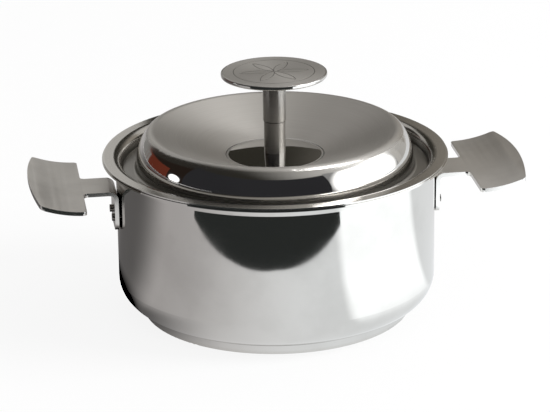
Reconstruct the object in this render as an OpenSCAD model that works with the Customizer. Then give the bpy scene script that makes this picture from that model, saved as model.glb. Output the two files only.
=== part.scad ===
// Two-handled bain-marie: a pot for the water, an insert pan that hangs from the pot's lip,
// and a dished lid with a disc knob. The origin is the centre of the base, on the table.
// The handles lie along X and Z points up. Sizes are in millimetres.

/* [Pot] */
// Outer diameter of the pot wall
pot_d = 202; // [170:1:250]
// Height of the top of the pot's lip above the table
pot_h = 102.4; // [80:0.1:140]
// Sheet thickness of the pot
pot_t = 1; // [0.8:0.1:1.4]
// Outer radius of the bottom corner
pot_corner_r = 18; // [12:0.5:22]
// Reach of the lip beyond the wall
lip_reach = 8.3; // [6:0.1:12]
// Inside radius of the bend under the lip
lip_bend_r = 5.5; // [2:0.5:5.5]

/* [Base] */
// Height of the capped base below the pot
base_h = 6.5; // [4:0.1:9]
// Distance from the wall in to the edge of the base
base_inset = 15; // [10:0.5:20]
// Sheet thickness of the base cap
cap_t = 0.8; // [0.5:0.1:1.2]
// Outer radius of the base cap's lower edge
cap_edge_r = 1.8; // [1.4:0.1:3]

/* [Handles] */
// Thickness of the handle plate
plate_t = 2.5; // [1.5:0.1:3.5]
// Drop from the pot's lip to the top of the handle's neck
handle_drop = 15.1; // [12:0.1:25]
// Width of the neck and of the riveted tab
neck_w = 29; // [24:0.5:36]
// Distance from the wall out to the inner edge of the wide plate
neck_l = 22; // [16:0.5:30]
// Width of the wide plate
plate_w = 96; // [70:1:120]
// Length of the wide plate along its middle
plate_l = 33.5; // [25:0.5:45]
// Bulge of the plate's outer edge
plate_bulge = 5.2; // [3:0.1:9]
// Radius of the plate's upward curve, at its top face
plate_curve_r = 74; // [60:1:120]
// Corner radius at the plate's outer edge
plate_outer_corner_r = 3; // [1:0.5:6]
// Corner radius at the plate's inner edge
plate_inner_corner_r = 2.5; // [0.5:0.5:4]
// Radius where the neck meets the wide plate
neck_fillet_r = 3; // [0.5:0.5:4]
// Inside radius of the bend between tab and neck
handle_bend_r = 3; // [2:0.5:5]
// Height of the tab below the top of the neck
tab_h = 26.5; // [22:0.5:34]
// Corner radius at the bottom of the tab
tab_corner_r = 5.5; // [1:0.5:6]
// Gap between the flat tab and the round wall where they are closest
tab_gap = 0.1; // [0.05:0.05:0.3]

/* [Rivets] */
// Diameter of the rivet shank and of its holes
rivet_d = 3.2; // [2.5:0.1:4.4]
// Diameter of the rivet heads
rivet_head_d = 4.8; // [4.6:0.1:8]
// Height of the rivet heads
rivet_head_h = 1.6; // [1:0.1:2.5]
// Distance between the two rivets of a handle
rivet_pitch = 17; // [14:0.5:22]
// Height of the rivets above the bottom of the tab
rivet_rise = 8; // [6:0.5:12]

/* [Insert pan] */
// Sheet thickness of the insert pan
pan_t = 1; // [0.8:0.1:1.3]
// Clearance between the pan's collar and the pot wall
pan_clearance = 1.6; // [1:0.1:3]
// Gap between the pan's flange and the pot's lip
flange_gap = 0.1; // [0.05:0.05:0.3]
// Distance that the pan's flange stops short of the lip's edge
flange_setback = 0.6; // [0.2:0.1:2]
// Outside radius of the bend under the pan's flange
flange_bend_r = 4; // [0.5:0.1:4.5]
// Drop from the top of the flange to the lid's seat
seat_drop = 9.4; // [7:0.1:14]
// Width of the step that forms the seat
seat_w = 6.4; // [5.5:0.1:10]
// Outer radius of the seat's outer corner
seat_corner_r = 1.8; // [1.5:0.1:2]
// Outside radius of the bend from the seat down to the pan's wall
seat_bend_r = 1; // [0.5:0.1:1.2]
// Depth of the pan inside, from the top of its flange
pan_depth = 64; // [45:1:78]
// Outer radius of the pan's bottom corner
pan_corner_r = 14; // [8:0.5:20]

/* [Lid] */
// Sheet thickness of the lid
lid_t = 1; // [0.8:0.1:1.3]
// Clearance between the lid's flange and the pan's collar
lid_clearance = 1.4; // [0.8:0.1:1.8]
// Gap between the lid's flange and its seat
lid_gap = 0.1; // [0.05:0.05:0.3]
// Width of the lid's flange outside the side wall
lid_flange_w = 8.2; // [7:0.1:12]
// Radius where the lid's flange turns up into the side
lid_foot_r = 2; // [1:0.1:3]
// Height of the lid's crest above the underside of its flange
lid_h = 24.8; // [22:0.1:34]
// Outer radius of the lid's shoulder
shoulder_r = 28; // [21:0.5:34]
// Outer radius of the lid's crest
crest_r = 5; // [3:0.1:8]
// Height at which the lid's shoulder begins, as a share of the lid's height
shoulder_share = 0.2; // [0.2:0.01:0.4]
// Radius of the raised centre
centre_r = 30.5; // [24:0.5:36]
// Depth of the dish, from the crest to the edge of the raised centre
dish_depth = 17.2; // [12:0.1:20]
// Rise of the raised centre
centre_rise = 1.8; // [1:0.1:3]
// Radius of the round in the crease between the dish and the raised centre
crease_r = 5; // [2:0.5:8]

/* [Knob] */
// Diameter of the lower post
lower_post_d = 13.6; // [12:0.1:16]
// Length of the lower post
lower_post_l = 20.6; // [15:0.1:30]
// Diameter of the upper post
upper_post_d = 14.5; // [12:0.1:17]
// Length of the upper post
upper_post_l = 29.3; // [22:0.1:40]
// Chamfer at the seam between the posts
post_chamfer = 0.35; // [0.1:0.05:0.6]
// Margin of the flat under the lower post
post_seat_margin = 0.6; // [0.3:0.1:1]
// Diameter of the knob disc
disc_d = 66.8; // [60:0.2:80]
// Thickness of the knob disc
disc_t = 2.7; // [2.2:0.1:4]
// Radius of the disc's edge
disc_edge_r = 0.9; // [0.4:0.1:1.1]
// Diameter of the spigot that is pressed into the disc
spigot_d = 8; // [6:0.1:10]
// Length of that spigot
spigot_l = 1.5; // [1:0.1:1.6]
// Width of the engraved lines on the disc
groove_w = 0.5; // [0.3:0.1:0.8]
// Depth of the engraved lines on the disc
groove_depth = 0.2; // [0.1:0.05:0.3]
// Radius of the engraved rosette
rosette_r = 22; // [14:0.5:24]
// Gap between the rosette and the ring round it
ring_gap = 3.5; // [2:0.5:5]

/* [Knob screw] */
// Diameter of the screw's shank
screw_d = 5; // [4:0.1:6]
// Clearance round the screw in the lid and in the lower post
screw_clearance = 0.2; // [0.1:0.05:0.5]
// Length of the screw inside the upper post
screw_grip = 12; // [8:0.5:18]
// Depth left free beyond the screw's tip
screw_tip_gap = 2; // [1:0.5:4]
// Diameter of the screw's head
screw_head_d = 9; // [8:0.1:12]
// Height of the screw's head
screw_head_h = 3; // [2.5:0.1:4]
// Width of the hexagon socket across its corners
socket_w = 3.5; // [3:0.1:4.5]
// Depth of the hexagon socket
socket_depth = 1.8; // [1:0.1:2]
// Diameter of the flat washer
flat_washer_d = 14; // [12:0.1:18]
// Thickness of the flat washer
flat_washer_t = 1.2; // [0.8:0.1:2]
// Diameter of the lock washer
lock_washer_d = 8.8; // [8:0.1:11]
// Thickness of the lock washer
lock_washer_t = 1.3; // [1:0.1:2]
// Width of the slit in the lock washer
lock_slit_w = 1; // [0.5:0.1:1.5]

/* [Hidden] */
// Sides of a drawn circle, and of the large circles behind shallow arcs
$fn = 96;
fine_fn = 720;

STEEL = "silver";
SATIN = "darkgray";
ALUMINIUM = "lightgray";

// Pot and base
pot_r = pot_d / 2;
pot_inner_r = pot_r - pot_t;
lip_r = pot_r + lip_reach;
base_r = pot_r - base_inset;

// Handle, seen from the side as distance from the axis (x) and height (y)
tab_x = pot_r + tab_gap;
neck_z = pot_h - handle_drop;
handle_bend_x = tab_x + plate_t + handle_bend_r;
handle_bend_z = neck_z - plate_t - handle_bend_r;
tab_z = neck_z - tab_h;
plate_x = pot_r + neck_l;
tip_x = plate_x + plate_l;
plate_top_z = neck_z + plate_curve_r;
rivet_z = tab_z + rivet_rise;
rivet_wall_x = sqrt(pot_inner_r * pot_inner_r - rivet_pitch * rivet_pitch / 4);
rivet_inner_x = rivet_wall_x - rivet_head_h;
rivet_outer_x = tab_x + plate_t + rivet_head_h;

// Outer arc of the plate through its tip and its corners, and the circles that round the corners
half_plate = plate_w / 2;
plate_arc_r = (half_plate * half_plate + plate_bulge * plate_bulge) / (2 * plate_bulge);
plate_arc_x = tip_x - plate_arc_r;
corner_y = half_plate - plate_outer_corner_r;
corner_reach = plate_arc_r - plate_outer_corner_r;
corner_x = plate_arc_x + sqrt(corner_reach * corner_reach - corner_y * corner_y);
corner_angle = asin(corner_y / corner_reach);

// Insert pan
flange_z = pot_h + flange_gap + pan_t;
flange_r = lip_r - flange_setback;
collar_r = pot_inner_r - pan_clearance;
collar_inner_r = collar_r - pan_t;
seat_z = flange_z - seat_drop;
pan_r = collar_r - seat_w;
pan_z = flange_z - pan_depth - pan_t;

// Lid: side, shoulder, crest and the straight slope of the dish
lid_z = seat_z + lid_gap;
lid_r = collar_inner_r - lid_clearance;
side_r = lid_r - lid_flange_w;
crest_z = lid_z + lid_h;
centre_z = crest_z - dish_depth;
crest_centre_z = crest_z - crest_r;
shoulder_x = side_r - shoulder_r;
shoulder_z = lid_z + shoulder_share * lid_h;
// Angle of the shoulder's arc before the crest begins
shoulder_angle = asin((crest_centre_z - shoulder_z) / (shoulder_r - crest_r));
crest_x = shoulder_x + (shoulder_r - crest_r) * cos(shoulder_angle);
crest_dx = crest_x - centre_r;
crest_dz = crest_centre_z - centre_z;
// Slope of the dish, which touches the crest's arc and ends at the edge of the raised centre
dish_angle = atan2(crest_dz, crest_dx) + asin(crest_r / norm([crest_dx, crest_dz]));
// Angle by which the crest's arc runs on into the sheet at both ends
crest_run_on = 4;

// Raised centre of the lid: a shallow dome with a flat for the post
dome_r = (centre_r * centre_r + centre_rise * centre_rise) / (2 * centre_rise);
dome_z = centre_z + centre_rise - dome_r;
dome_edge_angle = asin(centre_r / dome_r);
// Depth by which the round in the crease cuts into the sheet at both ends
crease_cut = 0.01;
// Height of the round's centre above the slope, and its distance up the slope from the edge of the dome
crease_lift = crease_r - crease_cut;
crease_turn = dish_angle + dome_edge_angle;
crease_side = dome_r * sin(crease_turn);
crease_l = sqrt(crease_side * crease_side + 2 * dome_r * crease_lift * (1 - cos(crease_turn))) - crease_side;
post_seat_r = lower_post_d / 2 + post_seat_margin;
post_z = dome_z + sqrt(dome_r * dome_r - post_seat_r * post_seat_r);
screw_hole_r = screw_d / 2 + screw_clearance;

// Knob and screw
seam_z = post_z + lower_post_l;
disc_z = seam_z + upper_post_l;
disc_r = disc_d / 2;
flat_washer_z = post_z - lid_t - flat_washer_t;
lock_washer_z = flat_washer_z - lock_washer_t;
screw_tip_z = seam_z + screw_grip;

// Rectangle of sheet between two radii and two heights
module strip(r0, r1, z0, z1) {
    translate([r0, z0]) square([r1 - r0, z1 - z0]);
}

// Arc of sheet about the point (r, z), from angle a0 to angle a1
module arc(r, z, inner_r, t, a0, a1) {
    reach = 2 * (inner_r + t);
    corners = [for (k = [0:3]) a0 + (a1 - a0) * k / 3];
    translate([r, z]) intersection() {
        difference() {
            circle(inner_r + t);
            circle(inner_r);
        }
        polygon(concat([[0, 0]], [for (a = corners) reach * [cos(a), sin(a)]]));
    }
}

// Profile of a bottom corner, a wall and a rim that turns out, for a sheet that starts at height z0
module collar(r, z0, z1, corner_r, bend_r, rim_r, t) {
    arc(r - corner_r, z0 + corner_r, corner_r - t, t, -90, 0);
    strip(r - t, r, z0 + corner_r, z1 - t - bend_r);
    arc(r + bend_r, z1 - t - bend_r, bend_r, t, 90, 180);
    strip(r + bend_r, rim_r, z1 - t, z1);
}

// Cylinder along X
module bar_x(d, x0, x1) {
    translate([x0, 0, 0]) rotate([0, 90, 0]) cylinder(d = d, h = x1 - x0);
}

// Places for the two rivets of the right handle
module at_rivets() {
    for (side = [-1, 1]) translate([0, side * rivet_pitch / 2, rivet_z]) children();
}

module pot_shell() {
    color(STEEL) difference() {
        rotate_extrude() {
            strip(0, pot_r - pot_corner_r, base_h, base_h + pot_t);
            collar(pot_r, base_h, pot_h, pot_corner_r, lip_bend_r, lip_r, pot_t);
        }
        at_rivets() bar_x(rivet_d, -lip_r, lip_r);
    }
}

module base_core() {
    color(ALUMINIUM) translate([0, 0, cap_t])
        cylinder(r = base_r - cap_t, h = base_h - cap_t);
}

module base_cap() {
    color(STEEL) difference() {
        rotate_extrude() {
            strip(0, base_r - cap_edge_r, 0, base_h);
            strip(0, base_r, cap_edge_r, base_h);
            translate([base_r - cap_edge_r, cap_edge_r]) circle(cap_edge_r);
        }
        base_core();
    }
}

// Side view of the handle: tab, bend, neck and upturned plate
module handle_side() {
    strip(tab_x, tab_x + plate_t, tab_z, handle_bend_z);
    arc(handle_bend_x, handle_bend_z, handle_bend_r, plate_t, 90, 180);
    strip(handle_bend_x, plate_x, neck_z - plate_t, neck_z);
    intersection() {
        translate([plate_x, plate_top_z]) difference() {
            circle(plate_curve_r + plate_t, $fn = fine_fn);
            circle(plate_curve_r, $fn = fine_fn);
        }
        strip(plate_x, tip_x + plate_t, neck_z - plate_t, plate_top_z);
    }
}

// View of the handle from above: neck with its fillets, and wide plate with round corners
module handle_plan() {
    inner_x = plate_x + plate_inner_corner_r;
    inner_y = half_plate - plate_inner_corner_r;
    fillet_y = neck_w / 2 + neck_fillet_r;
    translate([0, -neck_w / 2]) square([inner_x, neck_w]);
    difference() {
        translate([plate_x - neck_fillet_r, -fillet_y]) square([2 * neck_fillet_r, 2 * fillet_y]);
        for (side = [-1, 1]) translate([plate_x - neck_fillet_r, side * fillet_y]) circle(neck_fillet_r);
    }
    translate([plate_x, -inner_y]) square([corner_x - plate_x, 2 * inner_y]);
    translate([inner_x, -half_plate]) square([corner_x - inner_x, plate_w]);
    for (side = [-1, 1]) {
        translate([inner_x, side * inner_y]) circle(plate_inner_corner_r);
        translate([corner_x, side * corner_y]) circle(plate_outer_corner_r);
    }
    intersection() {
        translate([plate_arc_x, 0]) circle(plate_arc_r, $fn = fine_fn);
        polygon([
            [plate_x, 0],
            [corner_x, -corner_y],
            [plate_arc_x + 2 * plate_arc_r * cos(corner_angle), -2 * plate_arc_r * sin(corner_angle)],
            [plate_arc_x + 2 * plate_arc_r * cos(corner_angle), 2 * plate_arc_r * sin(corner_angle)],
            [corner_x, corner_y]
        ]);
    }
}

// Waste outside the two round corners at the bottom of the tab
module tab_corner_waste() {
    for (side = [-1, 1]) difference() {
        translate([side * neck_w / 2 - tab_corner_r, tab_z - tab_corner_r])
            square(2 * tab_corner_r);
        translate([side * (neck_w / 2 - tab_corner_r), tab_z + tab_corner_r]) circle(tab_corner_r);
    }
}

module right_handle() {
    color(SATIN) difference() {
        intersection() {
            rotate([90, 0, 0]) linear_extrude(plate_w, center = true) handle_side();
            translate([0, 0, tab_z]) linear_extrude(plate_top_z - tab_z) handle_plan();
        }
        translate([tab_x, 0, 0]) rotate([90, 0, 90]) linear_extrude(plate_t) tab_corner_waste();
        at_rivets() bar_x(rivet_d, 0, handle_bend_x);
    }
}

module left_handle() {
    mirror([1, 0, 0]) right_handle();
}

// Outer head on the tab, inner head formed against the round wall, and a shank from head to head
module right_handle_rivets() {
    color(STEEL) {
        at_rivets() {
            bar_x(rivet_head_d, tab_x + plate_t, rivet_outer_x);
            bar_x(rivet_d, rivet_wall_x - rivet_head_h / 2, rivet_outer_x - rivet_head_h / 2);
        }
        intersection() {
            at_rivets() bar_x(rivet_head_d, rivet_inner_x, pot_r);
            cylinder(r = pot_inner_r, h = pot_h);
        }
    }
}

module left_handle_rivets() {
    mirror([1, 0, 0]) right_handle_rivets();
}

module insert_pan() {
    color(STEEL) rotate_extrude() {
        strip(0, pan_r - pan_corner_r, pan_z, pan_z + pan_t);
        collar(pan_r, pan_z, seat_z, pan_corner_r, seat_bend_r, collar_r - seat_corner_r, pan_t);
        collar(collar_r, seat_z - pan_t, flange_z, seat_corner_r, flange_bend_r, flange_r, pan_t);
    }
}

// Slope of the dish and the domed centre, with a round in the crease and a mitre under it
module dish_profile() {
    normal = [-sin(dish_angle), cos(dish_angle)];
    slope_top = [crest_x, crest_centre_z] + crest_r * normal;
    edge = [centre_r, centre_z];
    lean = (dome_edge_angle - dish_angle) / 2;
    mitre = edge - lid_t / cos(crease_turn / 2) * [sin(lean), cos(lean)];
    low_z = centre_z - 2 * lid_t;
    dome_centre = [0, dome_z];
    crease_top = edge + crease_l * [cos(dish_angle), sin(dish_angle)];
    crease_centre = crease_top + crease_lift * normal;
    crease_foot = dome_centre + dome_r / (dome_r + crease_lift) * (crease_centre - dome_centre);
    polygon([slope_top, edge, mitre, slope_top - lid_t * normal]);
    difference() {
        polygon([crease_centre, crease_foot, (edge + mitre) / 2, crease_top]);
        translate(crease_centre) circle(crease_r);
    }
    difference() {
        intersection() {
            translate([0, dome_z]) circle(dome_r, $fn = fine_fn);
            strip(screw_hole_r, mitre[0], low_z, post_z);
        }
        intersection() {
            translate([0, dome_z]) circle(dome_r - lid_t, $fn = fine_fn);
            strip(0, centre_r + lid_t, low_z - lid_t, post_z - lid_t);
        }
    }
}

// The crest's arc runs on a little inside the sheet at both ends, so that the sheet is one piece
module lid_shell() {
    foot_z = lid_z + lid_t + lid_foot_r;
    crest_start = shoulder_angle - crest_run_on;
    crest_end = 90 + dish_angle + crest_run_on;
    color(STEEL) rotate_extrude() {
        strip(side_r + lid_foot_r, lid_r, lid_z, lid_z + lid_t);
        arc(side_r + lid_foot_r, foot_z, lid_foot_r, lid_t, 180, 270);
        strip(side_r - lid_t, side_r, foot_z, shoulder_z);
        arc(shoulder_x, shoulder_z, shoulder_r - lid_t, lid_t, 0, shoulder_angle);
        arc(crest_x, crest_centre_z, crest_r - lid_t, lid_t, crest_start, crest_end);
        dish_profile();
    }
}

module lower_post() {
    post_r = lower_post_d / 2;
    color(STEEL) difference() {
        translate([0, 0, post_z]) union() {
            cylinder(r = post_r, h = lower_post_l - post_chamfer);
            translate([0, 0, lower_post_l - post_chamfer])
                cylinder(r1 = post_r, r2 = post_r - post_chamfer, h = post_chamfer);
        }
        translate([0, 0, post_z - lid_t]) cylinder(r = screw_hole_r, h = lower_post_l + 2 * lid_t);
    }
}

module upper_post() {
    post_r = upper_post_d / 2;
    color(STEEL) difference() {
        translate([0, 0, seam_z]) union() {
            cylinder(r1 = post_r - post_chamfer, r2 = post_r, h = post_chamfer);
            translate([0, 0, post_chamfer]) cylinder(r = post_r, h = upper_post_l - post_chamfer);
            translate([0, 0, upper_post_l]) cylinder(d = spigot_d, h = spigot_l);
        }
        translate([0, 0, seam_z - lid_t]) cylinder(d = screw_d, h = lid_t + screw_grip + screw_tip_gap);
    }
}

// Upright ring for cutting an engraved line
module groove_ring(r) {
    difference() {
        cylinder(r = r + groove_w / 2, h = 2 * groove_depth);
        translate([0, 0, -groove_depth]) cylinder(r = r - groove_w / 2, h = 4 * groove_depth);
    }
}

// Six arcs drawn from a circle's own radius, and one ring round them
module rosette() {
    groove_ring(rosette_r + ring_gap);
    intersection() {
        cylinder(r = rosette_r, h = 2 * groove_depth);
        union() {
            for (k = [0:5]) rotate(60 * k) translate([rosette_r, 0, 0]) groove_ring(rosette_r);
        }
    }
}

module knob_disc() {
    color(SATIN) translate([0, 0, disc_z]) difference() {
        rotate_extrude() {
            strip(0, disc_r - disc_edge_r, 0, disc_t);
            strip(0, disc_r, disc_edge_r, disc_t - disc_edge_r);
            for (z = [disc_edge_r, disc_t - disc_edge_r])
                translate([disc_r - disc_edge_r, z]) circle(disc_edge_r);
        }
        translate([0, 0, -spigot_l]) cylinder(d = spigot_d, h = 2 * spigot_l);
        translate([0, 0, disc_t - groove_depth]) rosette();
    }
}

module lid_screw() {
    color(STEEL) difference() {
        union() {
            translate([0, 0, lock_washer_z - screw_head_h]) cylinder(d = screw_head_d, h = screw_head_h);
            translate([0, 0, lock_washer_z]) cylinder(d = screw_d, h = screw_tip_z - lock_washer_z);
        }
        translate([0, 0, lock_washer_z - screw_head_h - socket_depth])
            cylinder(d = socket_w, h = 2 * socket_depth, $fn = 6);
    }
}

// Flat ring round the screw
module washer(d, z, t) {
    translate([0, 0, z]) difference() {
        cylinder(d = d, h = t);
        translate([0, 0, -t]) cylinder(r = screw_hole_r, h = 3 * t);
    }
}

module flat_washer() {
    color(STEEL) washer(flat_washer_d, flat_washer_z, flat_washer_t);
}

module lock_washer() {
    color(SATIN) difference() {
        washer(lock_washer_d, lock_washer_z, lock_washer_t);
        translate([0, -lock_slit_w / 2, lock_washer_z - lock_washer_t])
            cube([lock_washer_d, lock_slit_w, 3 * lock_washer_t]);
    }
}

pot_shell();
base_core();
base_cap();
left_handle();
right_handle();
left_handle_rivets();
right_handle_rivets();
insert_pan();
lid_shell();
lower_post();
upper_post();
knob_disc();
lid_screw();
flat_washer();
lock_washer();
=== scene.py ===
"""Looks of the lidded bain-marie: steel finishes, a plain studio and the photograph's camera."""
import math

import bpy
from mathutils import Matrix, Vector


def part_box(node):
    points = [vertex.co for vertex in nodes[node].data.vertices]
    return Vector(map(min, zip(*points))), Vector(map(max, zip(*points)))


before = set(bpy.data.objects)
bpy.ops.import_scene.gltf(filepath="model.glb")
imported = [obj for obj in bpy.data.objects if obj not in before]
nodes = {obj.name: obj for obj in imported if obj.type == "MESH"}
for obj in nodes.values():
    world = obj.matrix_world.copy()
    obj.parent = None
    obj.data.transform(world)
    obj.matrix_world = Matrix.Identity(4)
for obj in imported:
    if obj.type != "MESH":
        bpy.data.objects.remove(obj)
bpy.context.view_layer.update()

# Camera, as fitted to the photograph. Lengths are metres from the pot's axis and the table.
IMAGE_W = 550
SENSOR_MM = 36.0
FOCAL_PIXELS = 2641.3
CAMERA_TURN = math.radians(-7.8)
CAMERA_REACH = 1.585
CAMERA_HEIGHT = 0.6335
CAMERA_PITCH = math.radians(19.68)
CAMERA_YAW = math.radians(0.016)
CAMERA_ROLL = math.radians(-0.754)

# Zones of the pieces, in metres, where one piece has more than one finish, a painted highlight or
# painted shade
SEAM_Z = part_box("base_cap")[1].z
POST_SEAM_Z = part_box("upper_post")[0].z
LIP_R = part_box("insert_pan")[1].x
DISC_TOP_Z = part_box("knob_disc")[1].z
DISC_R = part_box("knob_disc")[1].x
CENTRE_R = 0.0293
CREASE_R = 0.031
CREST_R = 0.077
SHOULDER_R = 0.0845
LID_SIDE_R = 0.0878
LID_FLANGE_Z = 0.0952
COLLAR_R = 0.0974
COLLAR_Z = 0.0962
COLLAR_HALF_H = 0.0045
SEAM_HALF_W = 0.0007
POST_SEAM_HALF_W = 0.0005
CREASE_HALF_W = 0.0007
SCUFF_TOP_Z = 0.0035
SCUFF_FULL_Z = 0.0008
ENGRAVED_Z = DISC_TOP_Z - 0.0002
ENGRAVED_HALF_H = 0.00012

# Metal colours
POLISHED = (0.72, 0.71, 0.69, 1.0)
POLISHED_DULL = (0.66, 0.65, 0.63, 1.0)
SATIN = (0.68, 0.66, 0.63, 1.0)
SATIN_DARK = (0.61, 0.59, 0.56, 1.0)
# Darker steel on the posts, as painted shade standing in for their dark reflections.
POST = (0.36, 0.35, 0.33, 1.0)
POST_DULL = (0.31, 0.30, 0.29, 1.0)
# Painted highlight: brighter steel on the lid's crease, the flange's outer edge and the handle edges.
PAINTED_HIGHLIGHT = (0.75, 0.74, 0.72, 1.0)
# Dark steel of the fasteners, and painted shade in the groove between the lid's foot and the pan's
# collar.
DARK_STEEL_AND_SHADE = (0.38, 0.37, 0.35, 1.0)
GRIME = (0.10, 0.09, 0.08, 1.0)
ALUMINIUM = (0.80, 0.80, 0.81, 1.0)
ALUMINIUM_DULL = (0.70, 0.70, 0.71, 1.0)

# Roughness of each finish, from its smoothest spots to its roughest
MIRROR_ROUGHNESS = (0.045, 0.08)
INSIDE_ROUGHNESS = (0.36, 0.46)
DISH_ROUGHNESS = (0.43, 0.51)
PAN_ROUGHNESS = (0.12, 0.18)
POST_ROUGHNESS = (0.2, 0.26)
PLATE_ROUGHNESS = (0.38, 0.44)
FASTENER_ROUGHNESS = (0.14, 0.24)
CORE_ROUGHNESS = (0.4, 0.5)

# Detail of the surfaces: counts per metre and heights in metres.
# LINE_CHANGE says how much a line round the axis varies on its way.
LINES = 2600
LINE_CHANGE = 1.6
PLATE_LINES_ALONG = 90
WAVES = 32
SMUDGES = 26
SPECKLES = 900
WAVE_HEIGHT = 0.000008
LINE_HEIGHT = 0.0000005

# Rounding of sharp edges, in metres and radians
WELD_GAP = 0.000002
SHARP_ANGLE = math.radians(40)
PLATE_ROUND = 0.0004
RIVET_ROUND = 0.0011
SMALL_ROUND = 0.0003


class Graph:
    """A node tree of a material or the world, with short ways to add and link nodes."""

    def __init__(self, owner):
        owner.use_nodes = True
        self.owner = owner
        self.tree = owner.node_tree
        self.tree.nodes.clear()

    def add(self, kind, inputs=None, **settings):
        """A new node. Inputs are values, or sockets to link."""
        node = self.tree.nodes.new("ShaderNode" + kind)
        for key, value in settings.items():
            setattr(node, key, value)
        for key, value in (inputs or {}).items():
            if isinstance(value, bpy.types.NodeSocket):
                self.tree.links.new(value, node.inputs[key])
            else:
                node.inputs[key].default_value = value
        return node

    def math(self, operation, a, b=0.0):
        return self.add("Math", {0: a, 1: b}, operation=operation).outputs[0]

    def vector(self, operation, a, b):
        return self.add("VectorMath", {0: a, 1: b}, operation=operation).outputs[0]

    def ramp(self, value, low, high, to_low=0.0, to_high=1.0):
        """Value taken smoothly from the span low to high onto the span to_low to to_high."""
        inputs = {"Value": value, 1: low, 2: high, 3: to_low, 4: to_high}
        return self.add("MapRange", inputs, interpolation_type="SMOOTHSTEP").outputs[0]

    def mix(self, share, a, b):
        """Number between a and b."""
        return self.add("Mix", {0: share, 2: a, 3: b}, data_type="FLOAT").outputs[0]

    def mix_colour(self, share, a, b):
        return self.add("Mix", {0: share, 6: a, 7: b}, data_type="RGBA").outputs[2]

    def noise(self, vector, scale, detail=3.0):
        return self.add("TexNoise", {"Vector": vector, "Scale": scale, "Detail": detail}).outputs[0]

    def output(self, shader, kind="OutputMaterial"):
        self.add(kind, {"Surface": shader})
        return self.owner


def new_material(name):
    return Graph(bpy.data.materials.new(name))


class Turned:
    """Coordinates on a piece that is round about the Z axis, and its fine lines, waves and smudges."""

    def __init__(self, graph):
        coordinates = graph.add("TexCoord")
        self.place = coordinates.outputs["Object"]
        self.x, self.y, self.z = graph.add("SeparateXYZ", {0: self.place}).outputs
        flat = graph.add("CombineXYZ", {"X": self.x, "Y": self.y}).outputs[0]
        self.radius = graph.add("VectorMath", {0: flat}, operation="LENGTH").outputs["Value"]
        self.around = graph.add("VectorMath", {0: flat}, operation="NORMALIZE").outputs[0]
        normal = coordinates.outputs["Normal"]
        dot = graph.add("VectorMath", {0: normal, 1: self.around}, operation="DOT_PRODUCT")
        self.outward = dot.outputs["Value"]
        self.upward = graph.add("SeparateXYZ", {0: normal}).outputs["Z"]
        self.lines = self.ring_lines(graph)
        self.waves = graph.noise(self.place, WAVES, 1.0)
        self.smudge = graph.ramp(graph.noise(self.place, SMUDGES, 5.0), 0.42, 0.72)

    def ring_lines(self, graph):
        """Noise that changes fast across the lines and slowly along them."""
        turn = graph.add("SeparateXYZ", {0: self.around}).outputs
        across = [graph.math("MULTIPLY", value, LINES) for value in (self.radius, self.z)]
        along = [graph.math("MULTIPLY", value, LINE_CHANGE) for value in (turn[0], turn[1])]
        vector = graph.add("CombineXYZ", {"X": across[0], "Y": across[1], "Z": along[0]}).outputs[0]
        inputs = {"Vector": vector, "W": along[1], "Scale": 1.0, "Detail": 2.0}
        return graph.add("TexNoise", inputs, noise_dimensions="4D").outputs[0]


def mirror_finish(graph, turned):
    """Colour and roughness of polished steel with faint smudges."""
    colour = graph.mix_colour(turned.smudge, POLISHED, POLISHED_DULL)
    roughness = graph.ramp(turned.smudge, 0.0, 1.0, *MIRROR_ROUGHNESS)
    return colour, roughness


def satin_finish(graph, turned, span):
    """Colour of satin steel with fine lines, and its roughness within a span."""
    colour = graph.mix_colour(turned.lines, SATIN, SATIN_DARK)
    roughness = graph.ramp(turned.lines, 0.25, 0.75, *span)
    return colour, roughness


def blend(graph, share, first, second):
    """One finish over another, each as a colour and a roughness."""
    colour = graph.mix_colour(share, first[0], second[0])
    return colour, graph.mix(share, first[1], second[1])


def surface_bump(graph, waves, lines):
    """Long shallow waves of the sheet, with the fine lines on top."""
    wavy = graph.add("Bump", {"Height": waves, "Distance": WAVE_HEIGHT}).outputs[0]
    return graph.add("Bump", {"Height": lines, "Distance": LINE_HEIGHT, "Normal": wavy}).outputs[0]


def turned_metal(graph, turned, finish, anisotropy):
    """Metal that smears reflections across its polishing lines, which fade where it is smooth."""
    tangent = graph.add("Tangent", direction_type="RADIAL", axis="Z").outputs[0]
    lines = graph.math("MULTIPLY", turned.lines, graph.ramp(finish[1], 0.1, 0.4))
    normal = surface_bump(graph, turned.waves, lines)
    inputs = {"Base Color": finish[0], "Metallic": 1.0, "Roughness": finish[1], "Normal": normal,
              "Anisotropic": anisotropy, "Anisotropic Rotation": 0.25, "Tangent": tangent}
    return graph.output(graph.add("BsdfPrincipled", inputs).outputs[0])


def near(graph, value, centre, width):
    """1 where the value is at the centre, falling to 0 a width away from it."""
    distance = graph.math("ABSOLUTE", graph.math("SUBTRACT", value, centre))
    return graph.ramp(distance, width, 0.3 * width)


def polished_steel():
    """Mirror outside, satin inside, scuffs on the base's lower edge and grime in its seam."""
    graph = new_material("polished_steel")
    turned = Turned(graph)
    inside = graph.ramp(turned.outward, 0.0, -0.2)
    satin = satin_finish(graph, turned, INSIDE_ROUGHNESS)
    finish = blend(graph, inside, mirror_finish(graph, turned), satin)
    low = graph.ramp(turned.z, SCUFF_TOP_Z, SCUFF_FULL_Z)
    scuff = graph.math("MULTIPLY", low, turned.lines)
    finish = blend(graph, scuff, finish, (SATIN_DARK, 0.5))
    seam = graph.math("MULTIPLY", near(graph, turned.z, SEAM_Z, SEAM_HALF_W), 0.8)
    finish = blend(graph, seam, finish, (GRIME, 0.6))
    return turned_metal(graph, turned, finish, 0.4)


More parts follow.
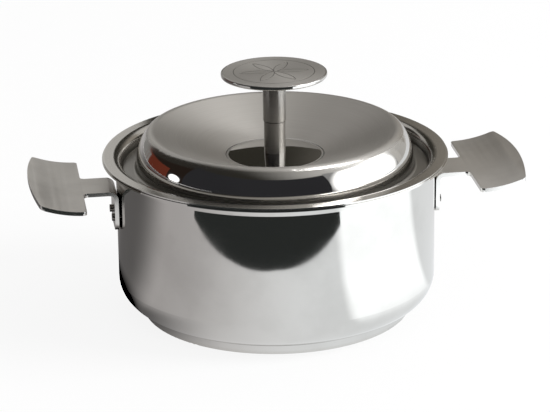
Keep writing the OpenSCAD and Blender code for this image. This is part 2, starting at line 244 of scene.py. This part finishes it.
def lid_steel():
    """Satin dish between mirror centre and mirror shoulder, with a painted highlight on the crease and
    painted shade on the foot.
    """
    graph = new_material("lid_steel")
    turned = Turned(graph)
    beyond_centre = graph.ramp(turned.radius, CENTRE_R, CENTRE_R + 0.0003)
    before_side = graph.ramp(turned.radius, SHOULDER_R, CREST_R)
    dish = graph.math("MULTIPLY", beyond_centre, before_side)
    under = graph.ramp(turned.upward, 0.0, -0.2)
    satin = satin_finish(graph, turned, DISH_ROUGHNESS)
    finish = blend(graph, graph.math("MAXIMUM", dish, under), mirror_finish(graph, turned), satin)
    # Painted highlight along the crease of the dish.
    crease_highlight = near(graph, turned.radius, CREASE_R, CREASE_HALF_W)
    finish = blend(graph, crease_highlight, finish, (PAINTED_HIGHLIGHT, 0.25))
    # Painted shade on the lower outside of the lid, down in the groove by the collar.
    low = graph.ramp(turned.z, LID_FLANGE_Z + 0.0075, LID_FLANGE_Z + 0.003)
    outside = graph.ramp(turned.radius, LID_SIDE_R - 0.0025, LID_SIDE_R - 0.0005)
    foot_shade = graph.math("MULTIPLY", low, outside)
    finish = blend(graph, foot_shade, finish, (DARK_STEEL_AND_SHADE, 0.3))
    return turned_metal(graph, turned, finish, 0.3)


def post_steel():
    """Turned posts, with fine lines that draw reflections out along the post."""
    graph = new_material("post_steel")
    turned = Turned(graph)
    # The posts' darker steel colour is painted shade.
    colour = graph.mix_colour(turned.smudge, POST, POST_DULL)
    finish = colour, graph.ramp(turned.lines, 0.25, 0.75, *POST_ROUGHNESS)
    seam = graph.math("MULTIPLY", near(graph, turned.z, POST_SEAM_Z, POST_SEAM_HALF_W), 0.8)
    finish = blend(graph, seam, finish, (GRIME, 0.6))
    return turned_metal(graph, turned, finish, 0.9)


def pan_steel():
    """Satin pan, with painted shade in the collar round the lid and a painted highlight along the outer
    edge of its flange.
    """
    graph = new_material("pan_steel")
    turned = Turned(graph)
    finish = satin_finish(graph, turned, PAN_ROUGHNESS)
    # Painted shade in the collar round the lid, where the groove is.
    within = graph.ramp(turned.radius, COLLAR_R + 0.0016, COLLAR_R + 0.0006)
    collar_shade = graph.math("MULTIPLY", within, near(graph, turned.z, COLLAR_Z, COLLAR_HALF_H))
    finish = blend(graph, collar_shade, finish, (DARK_STEEL_AND_SHADE, 0.3))
    # Painted highlight along the outer edge of the flange.
    edge = graph.ramp(turned.radius, LIP_R - 0.0012, LIP_R - 0.0002)
    finish = blend(graph, edge, finish, (PAINTED_HIGHLIGHT, 0.15))
    return turned_metal(graph, turned, finish, 0.5)


def disc_steel():
    """Satin disc with a polished edge and grime in the engraved lines."""
    graph = new_material("disc_steel")
    turned = Turned(graph)
    edge = graph.ramp(turned.radius, DISC_R - 0.0012, DISC_R - 0.0005)
    satin = satin_finish(graph, turned, DISH_ROUGHNESS)
    finish = blend(graph, edge, satin, mirror_finish(graph, turned))
    engraved = graph.math("MULTIPLY", near(graph, turned.z, ENGRAVED_Z, ENGRAVED_HALF_H), 0.75)
    finish = blend(graph, engraved, finish, (GRIME, 0.5))
    return turned_metal(graph, turned, finish, 0.3)


def satin_steel():
    """Handle plate: fine satin, with a painted highlight on its edges."""
    graph = new_material("satin_steel")
    coordinates = graph.add("TexCoord")
    place = coordinates.outputs["Object"]
    lines = graph.noise(graph.vector("MULTIPLY", place, (LINES, PLATE_LINES_ALONG, LINES)), 1.0, 2.0)
    smudge = graph.ramp(graph.noise(place, 2 * SMUDGES, 5.0), 0.35, 0.75)
    colour = graph.mix_colour(smudge, SATIN, SATIN_DARK)
    roughness = graph.ramp(lines, 0.25, 0.75, *PLATE_ROUGHNESS)
    upward = graph.add("SeparateXYZ", {0: coordinates.outputs["Normal"]}).outputs["Z"]
    # Painted highlight on the plate's side faces and edges, picked by the direction they face.
    edge = graph.ramp(graph.math("ABSOLUTE", upward), 0.75, 0.35)
    finish = blend(graph, edge, (colour, roughness), (PAINTED_HIGHLIGHT, 0.1))
    normal = surface_bump(graph, graph.noise(place, WAVES, 1.0), lines)
    inputs = {"Base Color": finish[0], "Metallic": 1.0, "Roughness": finish[1], "Normal": normal}
    return graph.output(graph.add("BsdfPrincipled", inputs).outputs[0])


def speckled_metal(name, bright, dull, span):
    """Metal with a fine irregular surface, and its roughness within a span."""
    graph = new_material(name)
    place = graph.add("TexCoord").outputs["Object"]
    speckle = graph.noise(place, SPECKLES)
    colour = graph.mix_colour(speckle, bright, dull)
    roughness = graph.ramp(speckle, 0.3, 0.7, *span)
    normal = surface_bump(graph, graph.noise(place, WAVES, 1.0), speckle)
    inputs = {"Base Color": colour, "Metallic": 1.0, "Roughness": roughness, "Normal": normal}
    return graph.output(graph.add("BsdfPrincipled", inputs).outputs[0])


def fastener_steel():
    return speckled_metal("fastener_steel", DARK_STEEL_AND_SHADE, GRIME, FASTENER_ROUGHNESS)


def core_aluminium():
    return speckled_metal("core_aluminium", ALUMINIUM, ALUMINIUM_DULL, CORE_ROUGHNESS)


def dress(material, *names):
    for name in names:
        mesh = nodes[name].data
        mesh.materials.clear()
        mesh.materials.append(material)


def soften(width, *names):
    """Round the sharp edges of the named pieces a little."""
    for name in names:
        weld = nodes[name].modifiers.new("weld", "WELD")
        weld.merge_threshold = WELD_GAP
        bevel = nodes[name].modifiers.new("bevel", "BEVEL")
        bevel.width = width
        bevel.segments = 3
        bevel.limit_method = "ANGLE"
        bevel.angle_limit = SHARP_ANGLE
        bevel.harden_normals = True


def finish_pieces():
    dress(polished_steel(), "pot_shell", "base_cap")
    dress(lid_steel(), "lid_shell")
    dress(post_steel(), "lower_post", "upper_post")
    dress(pan_steel(), "insert_pan")
    dress(disc_steel(), "knob_disc")
    dress(satin_steel(), "left_handle", "right_handle")
    dress(fastener_steel(), "left_handle_rivets", "right_handle_rivets",
          "lid_screw", "flat_washer", "lock_washer")
    dress(core_aluminium(), "base_core")
    soften(PLATE_ROUND, "left_handle", "right_handle")
    soften(RIVET_ROUND, "left_handle_rivets", "right_handle_rivets")
    soften(SMALL_ROUND, "lid_screw", "flat_washer", "lock_washer")


# Studio. Angles are degrees seen from the pot: azimuth 0 towards the camera, positive to its right.
FLOOR_R = 7.0
ROOM_R = 6.0
CARD_R = 5.5
LAMP_R = 5.2
TABLE_R = 4.2
TABLE_LIFT = 0.0002

# Dark ground in front of the table: its near edge, and the directions of the points on its far edge
TABLE_EDGE = [(-0.268, -0.213), (-0.12, -0.244), (0.0, -0.26), (0.131, -0.258), (0.212, -0.256)]
DARK_AZIMUTHS = (-51.5, -25, 0, 20, 39.5)
DARK_LIFT = 0.0004

# Share of plain white in the floor where it is seen, and the world's light on the floor
FLOOR_WHITE = 0.87
WORLD_LIGHT = 0.7


def on_sphere(radius, azimuth, elevation):
    a = math.radians(azimuth)
    e = math.radians(elevation)
    return radius * Vector((math.sin(a) * math.cos(e), -math.cos(a) * math.cos(e), math.sin(e)))


def studio_piece(name, verts, faces, material):
    """A stage piece, turned with the camera."""
    mesh = bpy.data.meshes.new(name)
    mesh.from_pydata(verts, [], faces)
    mesh.materials.append(material)
    piece = bpy.data.objects.new(name, mesh)
    piece.rotation_euler.z = CAMERA_TURN
    bpy.context.scene.collection.objects.link(piece)
    return piece


def reflector(name, verts, faces, material):
    """A stage piece that only shows in the steel, as the cards round a photographed object do."""
    piece = studio_piece(name, verts, faces, material)
    piece.visible_camera = False
    piece.visible_diffuse = False
    piece.visible_shadow = False


def card(name, radius, azimuths, tops, material, low=-1.0):
    """A piece of a sphere between two azimuths, up to the elevations tops at its two ends."""
    columns, rows = 24, 8
    verts = []
    for i in range(columns + 1):
        share = i / columns
        azimuth = azimuths[0] + share * (azimuths[1] - azimuths[0])
        top = tops[0] + share * (tops[1] - tops[0])
        verts += [on_sphere(radius, azimuth, low + (top - low) * j / rows) for j in range(rows + 1)]
    step = rows + 1
    faces = [(i * step + j, (i + 1) * step + j, (i + 1) * step + j + 1, i * step + j + 1)
             for i in range(columns) for j in range(rows)]
    reflector(name, verts, faces, material)


def glow(name, colour, strength=1.0):
    graph = new_material(name)
    inputs = {"Color": (*colour, 1.0), "Strength": strength}
    return graph.output(graph.add("Emission", inputs).outputs[0])


def side_glow(name, span, left, right):
    """One colour on the left and another on the right, blended over a span of X."""
    graph = new_material(name)
    x = graph.add("SeparateXYZ", {0: graph.add("TexCoord").outputs["Object"]}).outputs["X"]
    colour = graph.mix_colour(graph.ramp(x, *span), (*left, 1.0), (*right, 1.0))
    return graph.output(graph.add("Emission", {"Color": colour}).outputs[0])


def spot_glow(name, radius, middle, fade, dim, bright):
    """White round its middle, fading from bright to dim between two distances from it in degrees."""
    graph = new_material(name)
    place = graph.add("TexCoord").outputs["Object"]
    towards = on_sphere(1 / radius, *middle)
    dot = graph.add("VectorMath", {0: place, 1: towards}, operation="DOT_PRODUCT").outputs["Value"]
    inner, outer = [math.cos(math.radians(angle)) for angle in fade]
    strength = graph.ramp(dot, outer, inner, dim, bright)
    return graph.output(graph.add("Emission", {"Strength": strength}).outputs[0])


def room_glow():
    """Walls and ceiling: dim and brownish on the left, lighter above the window on the right."""
    graph = new_material("room")
    place = graph.add("TexCoord").outputs["Object"]
    lighter = on_sphere(1 / ROOM_R, 105, 35)
    dot = graph.add("VectorMath", {0: place, 1: lighter}, operation="DOT_PRODUCT").outputs["Value"]
    share = graph.ramp(dot, 0.0, 0.9)
    colour = graph.mix_colour(share, (0.03, 0.028, 0.024, 1), (0.62, 0.605, 0.58, 1))
    return graph.output(graph.add("Emission", {"Color": colour}).outputs[0])


def table_glow():
    """Table as the steel mirrors it: in the pot's shade on the left, lit by the window on the right."""
    graph = new_material("table")
    place = graph.add("TexCoord").outputs["Object"]
    distance = graph.add("VectorMath", {0: place}, operation="LENGTH").outputs["Value"]
    towards = graph.add("VectorMath", {0: place}, operation="NORMALIZE").outputs[0]
    window = on_sphere(1, 68, 0)
    side = graph.add("VectorMath", {0: towards, 1: window}, operation="DOT_PRODUCT").outputs["Value"]
    shade = graph.ramp(side, -1.0, -0.75, 0.12, 0.46)
    rise = graph.ramp(side, -0.75, 0.75, 0.0, 0.48)
    lit = graph.ramp(side, 0.84, 0.9, 0.0, 0.6)
    pool = graph.math("MULTIPLY", lit, graph.ramp(distance, 0.1, 0.17))
    unlit = graph.ramp(side, 0.0, -0.8, 0.0, 0.35)
    contact = graph.math("MULTIPLY", unlit, graph.ramp(distance, 0.16, 0.1))
    strength = graph.math("ADD", graph.math("ADD", shade, rise), graph.math("SUBTRACT", pool, contact))
    share = graph.ramp(side, -1.0, 1.0)
    colour = graph.mix_colour(share, (1.0, 0.96, 0.95, 1), (0.95, 0.98, 1.0, 1))
    return graph.output(graph.add("Emission", {"Color": colour, "Strength": strength}).outputs[0])


def seen_directly(graph):
    """1 for camera rays and for what steel and glass show, 0 for light on the floor."""
    path = graph.add("LightPath").outputs
    shown = graph.math("MAXIMUM", path["Is Camera Ray"], path["Is Glossy Ray"])
    return graph.math("MAXIMUM", shown, path["Is Transmission Ray"])


def disc_verts(radius, height):
    return [on_sphere(radius, angle, 0) + Vector((0, 0, height)) for angle in range(0, 360, 4)]


def make_floor():
    """Pale floor, near white, which keeps the object's shadow."""
    graph = new_material("floor")
    grain = graph.noise(graph.add("TexCoord").outputs["Object"], 40.0, 4.0)
    colour = graph.mix_colour(grain, (0.86, 0.86, 0.86, 1), (0.90, 0.90, 0.90, 1))
    matte = graph.add("BsdfDiffuse", {"Color": colour}).outputs[0]
    white = graph.add("Emission", {"Strength": 1.0}).outputs[0]
    share = graph.math("MULTIPLY", seen_directly(graph), FLOOR_WHITE)
    shader = graph.add("MixShader", {0: share, 1: matte, 2: white}).outputs[0]
    verts = disc_verts(FLOOR_R, 0)
    studio_piece("floor", verts, [range(len(verts))], graph.output(shader))


def make_table():
    """Table and the dark ground in front of it, as the steel mirrors them."""
    verts = disc_verts(TABLE_R, TABLE_LIFT)
    reflector("table", verts, [range(len(verts))], table_glow())
    near_edge = [Vector((x, y, DARK_LIFT)) for x, y in TABLE_EDGE]
    lift = Vector((0, 0, DARK_LIFT))
    far_edge = [on_sphere(FLOOR_R, azimuth, 0) + lift for azimuth in DARK_AZIMUTHS]
    verts = near_edge + far_edge
    count = len(near_edge)
    faces = [(i, count + i, count + i + 1, i + 1) for i in range(count - 1)]
    reflector("dark_ground", verts, faces, glow("dark_ground", (0.026, 0.029, 0.028)))


def make_room():
    card("room", ROOM_R, (-180, 180), (89, 89), room_glow())
    card("front_screen", CARD_R, (-81, 46), (41, 41), glow("front_screen", (0.028, 0.028, 0.031)))
    card("left_screen", CARD_R, (-150, -81), (4, 37), glow("left_screen", (0.02, 0.014, 0.011)))
    card("warm_card", LAMP_R, (-138, -99), (12, 17), glow("warm_card", (0.14, 0.032, 0.018)))
    small_lamp = spot_glow("small_lamp", LAMP_R, (-90, 5), (5.5, 7), 0.02, 2.0)
    card("small_lamp", LAMP_R, (-97, -83), (12, 12), small_lamp)
    window = spot_glow("window", CARD_R, (83, 12), (28.4, 37.8), 0.3, 2.5)
    card("window", CARD_R, (46, 120), (44, 30), window)
    card("skylight", CARD_R, (72, 102), (74, 74), glow("skylight", (1, 1, 1), 8.0), low=48)
    back_wall = side_glow("back_wall", (-2.2, -0.6), (0.42, 0.41, 0.39), (0.54, 0.53, 0.51))
    card("back_wall", CARD_R, (128, 222), (34, 34), back_wall)
    back_shelf = side_glow("back_shelf", (-1.6, 1.0), (0.25, 0.245, 0.235), (0.52, 0.505, 0.48))
    card("back_shelf", LAMP_R, (128, 232), (11, 11), back_shelf)
    card("back_strip", CARD_R, (150, 236), (54, 54), glow("back_strip", (1, 0.98, 0.96), 0.5), low=34)


def make_knob_screen():
    """Screen behind the knob, which shows in the mirror centre of the lid."""
    left, right, low, high, back = -0.1, 0.34, 0.13, 0.325, 0.35
    verts = [(left, back, low), (right, back, low), (right, back, high), (left, back, high)]
    material = side_glow("knob_screen", (0.0, 0.2), (0.03, 0.028, 0.022), (0.31, 0.285, 0.25))
    reflector("knob_screen", verts, [(0, 1, 2, 3)], material)


def area_lamp(name, azimuth, elevation, distance, size, power):
    """A soft lamp for the floor, which the steel doesn't mirror."""
    data = bpy.data.lights.new(name, "AREA")
    data.shape = "DISK"
    data.size = size
    data.energy = power
    lamp = bpy.data.objects.new(name, data)
    lamp.location = Matrix.Rotation(CAMERA_TURN, 3, "Z") @ on_sphere(distance, azimuth, elevation)
    lamp.rotation_euler = (-lamp.location).to_track_quat("-Z", "Y").to_euler()
    lamp.visible_glossy = False
    bpy.context.scene.collection.objects.link(lamp)


def make_world():
    """White where it is seen, soft grey light on the floor."""
    world = bpy.data.worlds.new("world")
    bpy.context.scene.world = world
    graph = Graph(world)
    strength = graph.ramp(seen_directly(graph), 0.0, 1.0, WORLD_LIGHT, 1.0)
    light = graph.add("Background", {"Color": (1, 1, 1, 1), "Strength": strength})
    graph.output(light.outputs[0], "OutputWorld")


def make_camera():
    data = bpy.data.cameras.new("camera")
    data.sensor_width = SENSOR_MM
    data.lens = SENSOR_MM * FOCAL_PIXELS / IMAGE_W
    data.clip_end = 50
    camera = bpy.data.objects.new("camera", data)
    bpy.context.scene.collection.objects.link(camera)
    turn = Matrix.Rotation(CAMERA_TURN, 4, "Z")
    place = Matrix.Translation((0, -CAMERA_REACH, CAMERA_HEIGHT))
    aim = Matrix.Rotation(CAMERA_YAW, 4, "Z") @ Matrix.Rotation(math.pi / 2 - CAMERA_PITCH, 4, "X")
    camera.matrix_world = turn @ place @ aim @ Matrix.Rotation(CAMERA_ROLL, 4, "Z")
    bpy.context.scene.camera = camera


make_camera()
finish_pieces()
make_floor()
make_table()
make_room()
make_knob_screen()
area_lamp("window_lamp", azimuth=82, elevation=30, distance=2.2, size=1.2, power=45)
make_world()
bpy.context.scene.view_settings.view_transform = "Standard"
